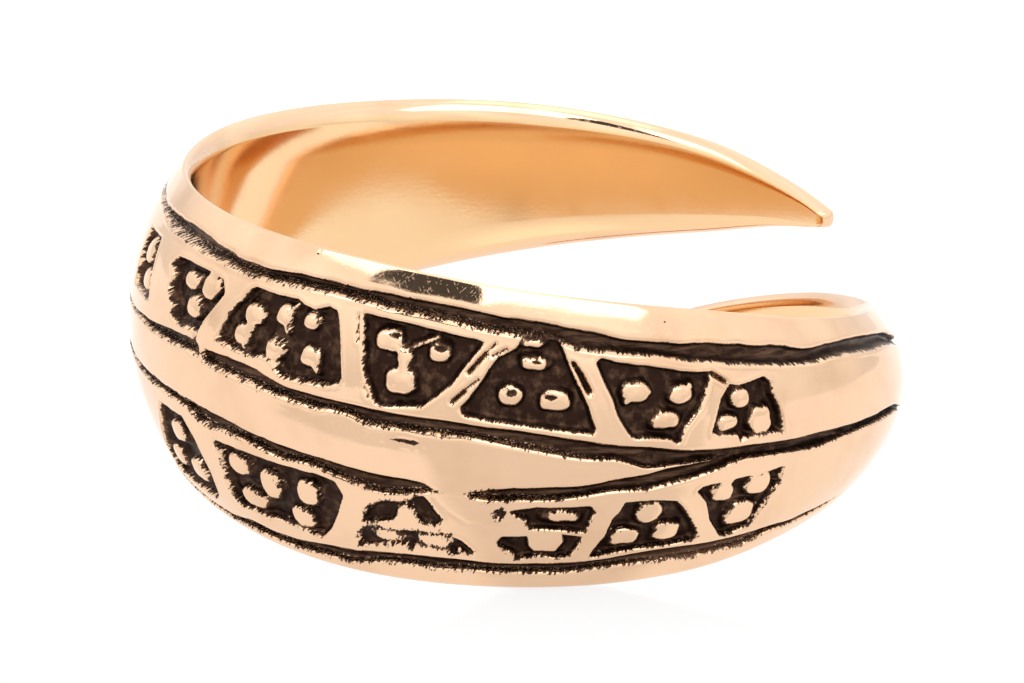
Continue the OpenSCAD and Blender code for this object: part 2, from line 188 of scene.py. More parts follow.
# The cells
# Two rows of hollows between the grooves, each sunk round two to six pellets that are
# left standing up to the level of the land.
# A cell has an outline of (angle, height) corners, its pellets as (angle, height, half
# width in degrees, half height in mm), its depth as a share of CELL_DEPTH, and how worn
# its edges are from 0 to 1. The smallest pellets are lumps beside a larger one.
CELL_DEPTH = 0.30  # mm
CELLS = [
    # the upper row, from left to right
    {"outline": [(-51, 3.5), (-43, 3.58), (-39.5, 2.02), (-49, 2.02)],
     "pellets": [(-46, 3.1, 1.9, 0.35), (-43, 2.45, 1.7, 0.3)]},
    {"outline": [(-35.4, 3.3), (-34.3, 3.5), (-24, 3.57), (-20.5, 3.48), (-19.2, 3.2),
                 (-20.3, 2.85), (-22, 2.4), (-23, 2.0), (-28, 1.98), (-30.5, 2.0),
                 (-31, 2.3), (-33.8, 2.75), (-33.2, 3.0)],
     "pellets": [(-28.3, 3.13, 1.9, 0.2), (-23.2, 3.2, 2.0, 0.33), (-22.9, 3.5, 0.9, 0.2),
                 (-25.6, 2.55, 1.9, 0.27)]},
    {"outline": [(-18.5, 2.05), (-18, 2.3), (-17.3, 2.7), (-16.3, 3.05), (-15.2, 3.2),
                 (-14.6, 3.45), (-13.5, 3.6), (-9, 3.55), (-5, 3.6), (-3.5, 3.5),
                 (-1.5, 3.45), (0.5, 3.57), (2, 3.5), (2.8, 3.2), (3.8, 2.7), (4.7, 1.9),
                 (4.3, 1.7), (2, 1.6), (-2, 1.57), (-5.5, 1.55), (-6.7, 1.8), (-8, 1.95),
                 (-12, 1.9), (-16, 1.95)],
     "pellets": [(-12.4, 2.93, 1.8, 0.25), (-13.7, 2.36, 1.6, 0.26), (-6.8, 3.1, 1.4, 0.26),
                 (-7.3, 2.2, 1.7, 0.25), (-2.0, 3.12, 1.3, 0.22), (-0.8, 2.25, 1.6, 0.26)]},
    {"outline": [(6.2, 3.58), (15, 3.45), (25.3, 3.2), (24.5, 2.95), (22.5, 2.45), (21, 2.05),
                 (19.5, 1.8), (17, 1.42), (15, 1.38), (11, 1.3), (10, 1.35), (8.4, 1.95),
                 (7, 2.9)],
     "pellets": [(11, 3.0, 2.0, 0.27), (18.8, 2.82, 1.6, 0.24), (13.5, 2.0, 2.2, 0.33),
                 (13.7, 2.65, 1.1, 0.2)]},
    {"outline": [(29.8, 3.08), (30.8, 3.36), (36.3, 3.3), (37, 3.1), (38.8, 2.4), (40.8, 1.7),
                 (42, 1.05), (41.6, 0.9), (30, 1.12), (23, 1.25), (22.2, 1.45), (23.5, 1.75),
                 (25.5, 2.3), (27, 2.75), (27.5, 2.85)],
     "pellets": [(32.8, 2.7, 2.0, 0.16), (29.5, 1.87, 1.6, 0.25), (36, 1.78, 2.1, 0.28),
                 (32.3, 3.2, 1.5, 0.10)]},
    {"outline": [(41.8, 2.75), (42.8, 2.87), (45, 2.75), (50, 2.62), (55, 2.45), (60.4, 2.3),
                 (59.5, 1.9), (58.3, 1.45), (57, 1.2), (55.5, 0.9), (54.9, 0.6), (54.3, 0.55),
                 (53.3, 0.68), (47.6, 0.75), (46.8, 0.9), (45.2, 1.4), (44.5, 1.75), (43, 2.3)],
     "pellets": [(48, 1.95, 2.1, 0.27), (55.2, 1.83, 1.9, 0.25), (52.5, 1.17, 2.2, 0.22)]},
    {"outline": [(63.3, 1.95), (65, 1.9), (70, 2.0), (71.2, 1.85), (71.2, 1.55), (72, 1.3),
                 (72.7, 1.0), (73.2, 0.42), (71.5, 0.5), (66, 0.47), (65, 0.4), (64.6, 0.6),
                 (59.9, 0.7), (60.8, 1.2), (61.6, 1.6)],
     "pellets": [(65.3, 1.55, 1.6, 0.25), (62.9, 0.95, 1.8, 0.2), (68.7, 0.9, 2.2, 0.36)]},
    # the lower row, from left to right
    {"outline": [(-33.5, -0.45), (-26, -0.5), (-23.3, -1.0), (-21.2, -1.8), (-21.3, -2.5),
                 (-23, -2.7), (-36.5, -2.45), (-37, -1.9)],
     "pellets": [(-29, -1.05, 1.9, 0.3), (-25.6, -2.0, 1.9, 0.3), (-32, -1.9, 1.7, 0.3)]},
    {"outline": [(-18.2, -0.75), (-10, -0.78), (-5, -0.85), (1, -0.87), (4.2, -1.0),
                 (5.4, -1.35), (4.2, -2.0), (2.6, -2.5), (0.6, -2.82), (-4, -2.6),
                 (-15.3, -2.55), (-17.5, -2.1), (-17.4, -1.2)],
     "pellets": [(-13.6, -1.25, 2.2, 0.3), (-12, -2.15, 2.5, 0.27), (-7.6, -1.55, 1.8, 0.4),
                 (-0.7, -1.5, 1.8, 0.35), (-2.3, -2.3, 2.0, 0.3)]},
    # one cell, worn so far that it is left in two halves
    {"outline": [(8.3, -2.0), (8.5, -1.75), (9.3, -1.55), (10.3, -1.37), (11.8, -1.29),
                 (14, -1.26), (15.6, -1.2), (16.3, -1.08), (17.9, -1.0), (18.6, -1.15),
                 (19.5, -1.4), (20.5, -1.62), (20, -1.78), (18.6, -1.87), (17.3, -1.8),
                 (16.6, -1.62), (16.2, -1.42), (15, -1.36), (14, -1.5), (13.8, -1.7),
                 (13, -1.88), (10.5, -1.97)],
     "pellets": [], "depth": 0.6, "worn": 0.72},
    {"outline": [(6.8, -2.8), (7.1, -2.5), (7.6, -2.28), (8.6, -2.13), (10.4, -2.08),
                 (12, -2.14), (14, -2.12), (17.8, -2.07), (18.6, -2.15), (20.2, -2.02),
                 (21.5, -2.1), (23.4, -2.25), (24.6, -2.45), (25.2, -2.55), (24.8, -2.72),
                 (23.6, -2.6), (22.9, -2.5), (22.6, -2.72), (21.9, -2.78), (21.2, -2.6),
                 (18, -2.55), (16.6, -2.5), (15.6, -2.72), (15, -2.55), (13.5, -2.62),
                 (11, -2.62), (9.5, -2.72)],
     "pellets": [(12, -2.33, 2.2, 0.17), (19.3, -2.33, 2.4, 0.2)], "depth": 0.6, "worn": 0.72},
    # one cell in three hollows, parted by bare metal
    {"outline": [(27.8, -1.45), (28.2, -1.25), (29.2, -1.2), (29.6, -1.32), (29, -1.58)],
     "pellets": [], "depth": 0.4, "worn": 1.0},
    {"outline": [(30.2, -1.27), (32, -1.2), (34, -1.13), (42, -1.1), (42.6, -1.25),
                 (42.3, -1.5), (41.5, -1.87), (38, -1.8), (33, -1.8), (32.8, -1.5),
                 (31.5, -1.45)],
     "pellets": [(37.6, -1.4, 2.3, 0.15)], "depth": 0.8},
    {"outline": [(28.4, -2.2), (29.2, -2.03), (33, -2.0), (33.3, -2.3), (34, -2.45),
                 (37.3, -2.45), (38.3, -2.15), (38, -1.9), (41.3, -2.0), (40.5, -2.35),
                 (39.5, -2.6), (38, -2.68), (35, -2.6), (33, -2.68), (31.2, -2.75),
                 (30.9, -2.5), (29.5, -2.42)],
     "pellets": [], "depth": 0.8},
    # the last two of the row
    {"outline": [(47, -1.0), (51, -0.97), (55, -1.05), (56.5, -1.25), (57.5, -1.5),
                 (59, -1.9), (59.7, -2.15), (59, -2.35), (50, -2.45), (46, -2.55),
                 (43.5, -2.68), (42.5, -2.65), (43, -2.4), (44.5, -2.0), (45.3, -1.5),
                 (46.3, -1.3)],
     "pellets": [(51, -1.35, 2.0, 0.3), (47.6, -2.05, 2.2, 0.25), (54.3, -1.95, 2.1, 0.28)]},
    {"outline": [(58.2, -0.85), (59, -0.75), (60.5, -0.7), (64.8, -0.62), (67, -0.58),
                 (73.5, -0.5), (73.1, -0.95), (71.8, -1.3), (70.5, -1.7), (69, -2.1),
                 (65.2, -2.35), (63.8, -2.3), (61.2, -1.75), (60, -1.2), (59.3, -1.05)],
     "pellets": [(62.8, -0.98, 1.9, 0.25), (69.2, -0.87, 2.4, 0.33), (66.7, -1.67, 2.5, 0.35)]},
]

# Thin cuts beside the cells, (angle, height) at each end and half the width in mm.
CUTS = [
    (-23.3, 2.10, -23.5, 1.75, 0.06), (-23.5, 1.75, -22.0, 1.45, 0.05),
    (26.9, 3.17, 25.5, 2.90, 0.035), (25.5, 2.90, 23.4, 2.42, 0.065),
    (28.6, 3.06, 26.6, 2.87, 0.035), (24.9, 2.26, 22.9, 1.95, 0.035),
    (22.9, 1.93, 21.2, 1.62, 0.06), (38.6, 2.73, 39.7, 2.45, 0.07),
    (39.7, 2.45, 40.9, 2.02, 0.085),
    (5.5, 3.50, 6.3, 2.90, 0.025), (8.2, 1.75, 9.0, 1.50, 0.025),
    (60.4, 2.25, 62.8, 2.02, 0.06),
]
# Bridges of metal between pellets and the drawn-out corners of some, in the same form.
BRIDGES = [
    (-12.2, 2.93, -13.0, 2.35, 0.14), (11.0, 3.00, 13.7, 2.65, 0.08),
    (13.7, 2.65, 13.5, 2.00, 0.15), (14.8, 2.90, 18.3, 3.20, 0.045),
    (62.8, -0.98, 63.4, -0.62, 0.2), (-23.2, 3.2, -22.9, 3.6, 0.14),
    (-6.6, 3.0, -5.6, 2.74, 0.07), (-6.6, 3.2, -5.0, 3.42, 0.05), (-13.6, 2.3, -12.9, 2.06, 0.07),
    (-7.2, 2.1, -6.9, 1.87, 0.08), (-0.7, 2.15, 0.6, 1.92, 0.08),
    (48.2, 1.95, 50.0, 1.94, 0.08), (48.0, 1.90, 46.6, 1.72, 0.08), (55.2, 1.85, 56.7, 2.01, 0.08),
    (55.2, 1.80, 53.8, 1.72, 0.07), (52.5, 1.17, 51.0, 1.05, 0.09), (52.5, 1.20, 51.7, 1.40, 0.06),
]
# Dints, flats and low swellings of the polished metal, (angle, height, half length in mm, half
# width in mm, depth in mm, 1 where it is filled with the patina's colour). In the dints on the
# pellets that fill is a painted dark reflection; elsewhere patina stayed in it.
DINTS = [
    (14.8, 0.45, 0.42, 0.055, 0.03, 1), (16.2, 0.43, 0.16, 0.075, 0.04, 1),
    (27, 0.15, 1.3, 0.55, 0.030, 0), (13, 0.20, 1.1, 0.5, -0.018, 0),
    (40, -0.02, 0.8, 0.3, -0.014, 0),
    (-4.4, 4.73, 0.08, 0.04, 0, 1), (53.5, 3.62, 0.045, 0.04, 0, 1),
    # the dark fill of the dints on the pellets, from (29.7, 1.95) to (12.0, 3.14), is a painted
    # dark reflection
    (29.7, 1.95, 0.15, 0.09, 0.04, 1), (35.4, 1.88, 0.17, 0.07, 0.04, 1),
    (33.0, 2.74, 0.15, 0.05, 0.03, 1), (19.0, 2.95, 0.20, 0.08, 0.05, 1),
    (12.0, 3.14, 0.17, 0.07, 0.04, 1), (2.5, 4.16, 0.04, 0.035, 0, 1),
    (8.5, 4.12, 0.05, 0.04, 0, 1), (13, 4.05, 0.05, 0.035, 0, 1),
]
# Faint lines where a worn skin of metal ends, in the form of the cuts.
LEDGES = [
    (19.5, -1.05, 21.0, -1.35, 0.035), (21.0, -1.35, 24.0, -1.70, 0.035),
    (24.0, -1.70, 30.0, -1.74, 0.03),
]
# Places where grooves were nearly polished away, (angle, height, half length in degrees,
# half width in mm, how worn from 0 to 1).
WORN_PLACES = [
    (18.0, -0.85, 4.0, 0.35, 1.0), (26.5, -0.85, 4.0, 0.35, 1.0), (15.8, -1.25, 1.5, 0.3, 1.0),
    (-20, 3.95, 9, 0.3, 0.9), (3, 3.9, 8, 0.25, 0.8), (62, -2.75, 14, 0.2, 0.7),
]
ARC_PER_DEGREE = 0.185  # mm along the outside for a degree round the finger
PELLET_SQUARENESS = 2.7  # 2 is a plain oval
FAR_AWAY = 9.0  # mm, more than any distance to an edge that matters


def outline_reach(outline, arc, height):
    """How far inside a closed outline places lie, in mm, above 0 inside it."""
    corners = np.array(outline, float) * (ARC_PER_DEGREE, 1)
    inside = np.zeros(arc.shape, bool)
    nearest = np.full(arc.shape, FAR_AWAY)
    for (x0, y0), (x1, y1) in zip(corners, np.roll(corners, -1, axis=0)):
        dx, dy = x1 - x0, y1 - y0
        t = np.clip(((arc - x0) * dx + (height - y0) * dy) / (dx * dx + dy * dy), 0, 1)
        nearest = np.minimum(nearest, np.hypot(arc - x0 - t * dx, height - y0 - t * dy))
        if dy:
            inside ^= ((y0 > height) != (y1 > height)) & (arc < x0 + (height - y0) * dx / dy)
    return np.where(inside, nearest, -nearest)


def line_reach(line, arc, height):
    """How far inside a round-ended line places lie, in mm."""
    a0, y0, a1, y1, half = line
    x0, x1 = a0 * ARC_PER_DEGREE, a1 * ARC_PER_DEGREE
    dx, dy = x1 - x0, y1 - y0
    t = np.clip(((arc - x0) * dx + (height - y0) * dy) / (dx * dx + dy * dy), 0, 1)
    return half - np.hypot(arc - x0 - t * dx, height - y0 - t * dy)


def pellet_reach(pellet, arc, height):
    """How far inside a pellet's polished top places lie, in mm."""
    angle, middle, half_width, half_height = pellet
    half_width = half_width * ARC_PER_DEGREE
    across, up = (arc - angle * ARC_PER_DEGREE) / half_width, (height - middle) / half_height
    share = np.abs(across) ** PELLET_SQUARENESS + np.abs(up) ** PELLET_SQUARENESS
    return (1 - share ** (1 / PELLET_SQUARENESS)) * min(half_width, half_height)


# Wear and the maker's hand
# The wax was cut by hand and the casting tumbled and polished, so edges wander and are
# rounded, broad faces are slightly uneven, and floors keep their cast grain.

# (start, end) of each slope, in mm inside the edge it belongs to
WALL = (-0.025, 0.12)
PELLET_SIDE = (-0.10, 0.04)
PELLET_CROWN = (-0.04, 0.24)
CUT_WALL = (-0.05, 0.08)
LEDGE_STEP = (-0.03, 0.02)
GROOVE_BANK = (-0.12, -0.06)
SIDE_SHARE, CROWN_SHARE = 0.82, 0.17  # of a cell's depth, that a pellet's side and crown rise
PELLET_SHOULDER = 0.02  # mm inside a pellet's edge where its polished top starts
CUT_DEPTH = 0.7 * CELL_DEPTH
LEDGE_DEPTH = 0.03  # mm
DINT_REACH = 0.14  # mm, how far into the dark fill the middle of a dark dint counts as; patina, on the pellets a painted dark reflection
LIP_HEIGHT = 0.015  # mm that the land's edge stands up beside a cell or below a groove
LIP_AWAY, LIP_WIDTH = 0.06, 0.045  # mm
SURROUND = 0.4  # mm round a cell's outline that belong to it too


def hand_noise(places, wavelength, seed):
    """Smooth noise of about -1 to 1 at places in mm."""
    shift = Vector((seed * 7.3, seed * 3.1, 0))
    return np.array([noise.noise(Vector(p) / wavelength + shift) for p in places])


def hand_wander(places, seed):
    """How far a cut edge strays from its line, in mm, in long and in short waves."""
    return 0.030 * hand_noise(places, 0.9, seed) + 0.014 * hand_noise(places, 0.3, seed + 1)


def relief(angle, height, places):
    """(depth below the dome, reach into the recesses, wear, 1 in the grooves) at places."""
    wander = hand_wander(places, 1)
    drift = hand_wander(places, 3)
    knobbly = 0.045 * hand_noise(places, 0.27, 8)
    arc, height = angle * ARC_PER_DEGREE + drift, height + wander
    angle = arc / ARC_PER_DEGREE
    reach = np.full(arc.shape, -FAR_AWAY)
    depth = np.zeros(arc.shape)
    worn = np.zeros(arc.shape)
    upper_half = np.zeros(arc.shape)
    for table in GROOVES:
        into = groove_reach(table, angle, height)
        depth = np.maximum(depth, GROOVE_DEPTH * ease(*WALL, into))
        middle = (along(table, 1, angle) + along(table, 2, angle)) / 2
        upper_half = np.where(into > reach, height > middle, upper_half)
        reach = np.maximum(reach, into)
    groove = ease(*GROOVE_BANK, reach)
    has_lip = 1 - groove * upper_half
    bridge = np.full(arc.shape, -FAR_AWAY)
    for line in BRIDGES:
        bridge = np.maximum(bridge, line_reach(line, arc, height))
    for cell in CELLS:
        into = outline_reach(cell["outline"], arc, height)
        near = into > -SURROUND
        metal = bridge[near]
        for pellet in cell["pellets"]:
            top = pellet_reach(pellet, arc[near], height[near]) + knobbly[near]
            metal = np.maximum(metal, top)
        sunk = CELL_DEPTH * cell.get("depth", 1) * ease(*WALL, into[near])
        standing = SIDE_SHARE * ease(*PELLET_SIDE, metal) + CROWN_SHARE * ease(*PELLET_CROWN, metal)
        depth[near] = np.maximum(depth[near], sunk * (1 - standing))
        into_here = np.minimum(into[near], PELLET_SHOULDER - metal)
        worn[near] = np.where(into_here > reach[near], cell.get("worn", 0), worn[near])
        reach[near] = np.maximum(reach[near], into_here)
    for line in CUTS:
        into = line_reach(line, arc, height)
        depth = np.maximum(depth, CUT_DEPTH * ease(*CUT_WALL, into))
        reach = np.maximum(reach, into)
    for line in LEDGES:
        depth = depth + LEDGE_DEPTH * ease(*LEDGE_STEP, line_reach(line, arc, height))
    for at, middle, half_length, half_width, deep, dark in DINTS:
        share = np.hypot((arc - at * ARC_PER_DEGREE) / half_length, (height - middle) / half_width)
        depth = depth + deep * ease(1, 0, share)
        # dark dints take the patina's colour; on the pellets that colour is a painted dark
        # reflection
        reach = np.maximum(reach, dark * DINT_REACH * (1 - share) - (1 - dark))
    for at, middle, half_length, half_width, how in WORN_PLACES:
        share = np.hypot((angle - at) / half_length, (height - middle) / half_width)
        worn = np.maximum(worn, how * ease(1, 0.4, share))
    lip = np.exp(-((reach + LIP_AWAY) / LIP_WIDTH) ** 2)
    return depth - LIP_HEIGHT * lip * has_lip, reach, worn, groove


def torn_edges(reach, worn, groove, angle, height):
    """How torn the polishing wheel left the edge of the patina, from 0 to 1."""
    up = np.gradient(reach, axis=0) / np.gradient(height, axis=0)
    arc_step = np.gradient(angle, axis=1) * ARC_PER_DEGREE
    right = (np.gradient(reach, axis=1) - up * np.gradient(height, axis=1)) / arc_step
    # it tore the lower edge of a recess, and the left one, or at the ring's right the right one
    sideways = 0.5 - ease(35, 45, angle)
    facing = ease(0.05, 0.9, sideways * right + 0.86 * up)
    # grooves are less torn at the right, all but the lowest
    on_grooves = np.maximum(1 - 0.8 * ease(18, 55, angle), 0.7 * ease(-2.2, -2.6, height))
    # cells are less torn right of the middle, those of the upper row most so, and at the left
    on_cells = 1 - (0.80 - 0.60 * ease(0, -0.8, height)) * ease(-4, 8, angle)
    on_cells = on_cells * (1 - 0.6 * ease(-20, -30, angle))
    pressure = on_cells + (on_grooves - on_cells) * groove
    return np.maximum(0.10 + 0.8 * facing * pressure, worn)


# The cast band
# A flat grid is bent round: its columns go round the finger, close together in front
# where the relief is, and its rows go round the section, down the outside and up the bore.
COLUMN_ZONES = [  # from this angle on, degrees between columns
    (-210, 0.25), (-209, 2.4), (-140, 1.2), (-53, 0.3), (77, 0.8), (129, 2.4), (205, 0.25),
]
OUTER_ROWS = [7, 6, 42, 6, 14, 6, 41, 6, 5]  # rows from one groove's edge to the next
LEAST_GAP = 0.004  # between two groove edges, as a share of the outside's width
INNER_ROWS = 6
TIP_ROUNDING = 1.0  # degrees over which an arm's end is rounded off
TIP_SHARE = 0.03  # of that rounding, where the end is cut flat
# Rims, from the outside to the bore: (mm out from the bore, mm beyond the band's edge).
# The upper one carries the border's slope on to a crisp crest, then rounds into the bore.
UPPER_RIM = [(0.415, 0.05), (0.378, 0.098), (0.350, 0.105), (0.30, 0.085), (0.19, -0.02),
             (0.08, -0.17), (0.02, -0.33)]
LOWER_RIM = [(0.40, 0.0), (0.30, 0.0), (0.24, -0.015), (0.15, -0.09), (0.06, -0.21),
             (0.015, -0.34)]
RIM_INSET = 0.42  # mm from the band's edge to the plain bore, less on the narrow arms
OUTER_INSET = 0.05  # mm from the band's edge to the outside's first row
RIM_FROM, RIM_OVER = 0.2, 1.8  # mm of half width from which, and over which, the rims grow
GRAIN_DEPTH, GRAIN_SIZE = 0.02, 0.16  # mm


def columns():
    """Angles of the grid's columns."""
    angles = []
    for (start, step), (end, _) in zip(COLUMN_ZONES, COLUMN_ZONES[1:] + [(LAST_ANGLE, 0)]):
        count = max(1, round((end - start) / step))
        angles += [start + (end - start) * k / count for k in range(count)]
    return np.array(angles + [LAST_ANGLE], float)


def outer_heights(angle):
    """Heights of the outside's rows at each angle, from the upper edge down."""
    middle, half = along(BAND, 1, angle), along(BAND, 2, angle)
    upper, lower = middle + half - OUTER_INSET, middle - half + OUTER_INSET
    guides = [upper] + [along(t, c, angle) for t in GROOVES for c in (1, 2)] + [lower]
    share = np.array([(upper - g) / (upper - lower) for g in guides])
    share = np.maximum.accumulate(np.clip(share, 0, 1), axis=0)
    share = share + LEAST_GAP * np.arange(len(guides))[:, None]
    share = share / share[-1]
    even = np.cumsum([0] + OUTER_ROWS) / sum(OUTER_ROWS)
    grooved = ease(-150, -120, angle) * (1 - ease(115, 150, angle))
    share = even[:, None] * (1 - grooved) + share * grooved
    rows = []
    for k, count in enumerate(OUTER_ROWS):
        for step in range(count):
            rows.append(share[k] + (share[k + 1] - share[k]) * step / count)
    rows.append(share[-1])
    return upper - np.array(rows) * (upper - lower)


angles = columns()
middle, half = along(BAND, 1, angles), along(BAND, 2, angles)
outer = outer_heights(angles)
outer_angle = np.broadcast_to(angles, outer.shape)
outer_radius = skin(outer_angle, outer)
places = np.stack([
    outer_radius * np.sin(np.radians(outer_angle)),
    -outer_radius * np.cos(np.radians(outer_angle)), outer], -1).reshape(-1, 3)
depth, reach, worn, groove = (
    x.reshape(outer.shape)
    for x in relief(outer_angle.ravel().copy(), outer.ravel().copy(), places)
)
torn = torn_edges(reach, worn, groove, outer_angle, outer)
# broad faces are uneven by a hundredth of a millimetre or two, floors and torn edges grainy
uneven = 0.016 * hand_noise(places, 2.6, 5) + 0.006 * hand_noise(places, 0.9, 6)
grain = (GRAIN_DEPTH * hand_noise(places, GRAIN_SIZE, 7)).reshape(outer.shape)
edge_fade = ease(0, 0.5, np.minimum(outer - (middle - half), (middle + half) - outer))
outer_radius = (outer_radius - depth + uneven.reshape(outer.shape) * edge_fade
                + grain * ease(0.05, 0.2, reach) + grain * torn * ease(-0.08, 0.05, reach))

rim_size = np.clip((half - RIM_FROM) / RIM_OVER, 0.12, 1)
lower_rim = [(FINGER_RADIUS + out, (middle - half) - past * rim_size) for out, past in LOWER_RIM]
upper_rim = [
    (FINGER_RADIUS + out, (middle + half) + past * rim_size) for out, past in reversed(UPPER_RIM)
]
bore = [
    (FINGER_RADIUS, (middle - half) + RIM_INSET * rim_size
     + 2 * (half - RIM_INSET * rim_size) * k / INNER_ROWS)
    for k in range(INNER_ROWS + 1)
]
plain = lower_rim + bore + upper_rim
radius = np.concatenate([outer_radius] + [np.full((1, len(angles)), r) for r, _ in plain]
                        + [outer_radius[:1]])
height = np.concatenate([outer] + [h[None, :] for _, h in plain] + [outer[:1]])
bare = np.full((len(plain), len(angles)), -1.0)
reach = np.concatenate([reach, bare, reach[:1]])
torn = np.concatenate([torn, 0 * bare, torn[:1]])
groove = np.concatenate([groove, 0 * bare, groove[:1]])
# 1 on the plain bore and on the rows of the rims that meet it
inner = np.zeros(radius.shape)
inner[len(outer) + len(LOWER_RIM) - 1:len(outer) + len(plain) - len(UPPER_RIM) + 1] = 1

# an arm's end draws in towards the middle of its section
to_end = np.minimum(angles - FIRST_ANGLE, LAST_ANGLE - angles) / TIP_ROUNDING
draw = np.sqrt(1 - (1 - np.clip(to_end, TIP_SHARE, 1)) ** 2)
centre_radius = (radius.min(0) + radius.max(0)) / 2
radius = centre_radius + (radius - centre_radius) * draw
height = middle + (height - middle) * draw

rows_around, columns_round = radius.shape
band = bpy.data.meshes.new("cast_band")
shape = bmesh.new()
bmesh.ops.create_grid(shape, x_segments=columns_round - 1, y_segments=rows_around - 1, size=0.5)
shape.to_mesh(band)
shape.free()
flat = np.zeros(len(band.vertices) * 3)
band.vertices.foreach_get("co", flat)
flat = flat.reshape(-1, 3)
column = np.rint((flat[:, 0] + 0.5) * (columns_round - 1)).astype(int)
row = np.rint((flat[:, 1] + 0.5) * (rows_around - 1)).astype(int)
at = np.radians(angles[column])
r, h = radius[row, column], height[row, column]
band.vertices.foreach_set("co", np.stack(
    [r * np.sin(at), -r * np.cos(at), h + STAND_HEIGHT], -1).ravel() * MM)
for name, value in (("recess", reach), ("torn", torn), ("groove", groove), ("bore_wall", inner)):
    band.attributes.new(name, "FLOAT", "POINT").data.foreach_set("value", value[row, column])
spread = np.stack([angles[column] * ARC_PER_DEGREE, h, np.zeros(len(h))], -1)
band.attributes.new("spread", "FLOAT_VECTOR", "POINT").data.foreach_set("vector", spread.ravel())

shape = bmesh.new()
shape.from_mesh(band)
bmesh.ops.remove_doubles(shape, verts=shape.verts, dist=0.0001 * MM)
bmesh.ops.holes_fill(shape, edges=[e for e in shape.edges if e.is_boundary], sides=0)
bmesh.ops.recalc_face_normals(shape, faces=shape.faces)
for face in shape.faces:
    face.smooth = True
shape.to_mesh(band)
shape.free()
cast_band = bpy.data.objects.new("cast_band", band)
bpy.context.scene.collection.objects.link(cast_band)


# Bronze and its patina
# Polished peach-gold bronze, darker and more orange where it mirrors itself in the bore; its colour
# there carries a painted reflection tint.
# A near-black brown patina was left in the recesses and polished off everything higher.
POLISHED = (0.80, 0.538, 0.352)
TARNISHED = (0.72, 0.463, 0.288)
# painted reflection tint of the bore
PAINTED_BORE_REFLECTION = (0.82, 0.552, 0.306)
WORN_EDGE = (0.13, 0.075, 0.045)
PATINA = (0.026, 0.0114, 0.0067)
THIN_PATINA = (0.13, 0.070, 0.042)
CLUMP_REACH, CRUMB_REACH, FINE_REACH = 0.32, 0.60, 0.05  # mm that clumps and crumbs spread
CRUMB_LENGTH, CRUMB_WIDTH = 0.15, 0.08  # mm
CRUMB_TURN = 60  # degrees from along the band to the way the wheel dragged
CLEAN_EDGE, TORN_EDGE = 0.011, 0.035  # mm over which patina ends, and that added where torn
EDGE_TO_DEEP = (0.008, 0.055)  # mm into the patina over which it gets its full colour
CLUMPS_PER_MM, SPECKS_PER_MM, BLOTCHES_PER_MM, PITS_PER_MM = 3.4, 17, 3.0, 9
TARNISH_PER_MM, HAZE_PER_MM = 0.42, 0.6
PATINA_ROUGHNESS = 0.42
SCRATCH_ROUGHNESS, BORE_ROUGHNESS = 0.12, 0.05  # added to the polished metal's
BUMP_HEIGHT = 0.03 * MM


def node(tree, kind, **settings):
    """A new node, with its inputs and settings given by name."""
    made = tree.nodes.new(kind)
    for name, value in settings.items():
        if name in made.inputs:
            made.inputs[name].default_value = value
        else:
            setattr(made, name, value)
    return made


def math_node(tree, operation, first, second):
    """Arithmetic on two values, each a number or the output of another node."""
    made = tree.nodes.new("ShaderNodeMath")
    made.operation = operation
    for socket, value in enumerate((first, second)):
        if isinstance(value, bpy.types.NodeSocket):
            tree.links.new(value, made.inputs[socket])
        else:
            made.inputs[socket].default_value = value
    return made.outputs[0]


def times(tree, first, second):
    return math_node(tree, "MULTIPLY", first, second)


def plus(tree, first, second):
    return math_node(tree, "ADD", first, second)


def larger(tree, first, second):
    return math_node(tree, "MAXIMUM", first, second)


def opposite(tree, value):
    return math_node(tree, "SUBTRACT", 1.0, value)


def spread_map(tree, value, low, high, start=0.0, end=1.0):
    """A smooth change from start to end while a value goes from low to high."""
    made = tree.nodes.new("ShaderNodeMapRange")
    made.interpolation_type = "SMOOTHSTEP"
    tree.links.new(value, made.inputs["Value"])
    made.inputs["From Min"].default_value = low
    made.inputs["From Max"].default_value = high
    made.inputs["To Min"].default_value = start
    made.inputs["To Max"].default_value = end
    return made.outputs["Result"]


def noise_value(tree, places, per_mm, detail, rough=0.5):
    """Noise on the solid, with a number of grains to the millimetre."""
    made = node(tree, "ShaderNodeTexNoise", Scale=per_mm / MM, Detail=detail, Roughness=rough)
    tree.links.new(places, made.inputs["Vector"])
    return made.outputs["Fac"]


def mix_colour(tree, share, first, second):
    """The first colour where the share is 0 and the second where it is 1."""
    made = tree.nodes.new("ShaderNodeMix")
    made.data_type = "RGBA"
    for name, value in (("Factor", share), ("A", first), ("B", second)):
        socket = next(s for s in made.inputs if s.name == name and (
            s.type == ("VALUE" if name == "Factor" else "RGBA")) and s.enabled)
        if isinstance(value, bpy.types.NodeSocket):
            tree.links.new(value, socket)
        else:
            socket.default_value = (*value, 1)
    return next(s for s in made.outputs if s.type == "RGBA" and s.enabled)


bronze = bpy.data.materials.new("bronze")
bronze.use_nodes = True
tree = bronze.node_tree
shader = tree.nodes["Principled BSDF"]
here = tree.nodes.new("ShaderNodeTexCoord").outputs["Object"]
recess = node(tree, "ShaderNodeAttribute", attribute_name="recess").outputs["Fac"]
torn_edge = node(tree, "ShaderNodeAttribute", attribute_name="torn").outputs["Fac"]
in_groove = node(tree, "ShaderNodeAttribute", attribute_name="groove").outputs["Fac"]
bore_wall = node(tree, "ShaderNodeAttribute", attribute_name="bore_wall").outputs["Fac"]
unrolled = node(tree, "ShaderNodeAttribute", attribute_name="spread").outputs["Vector"]


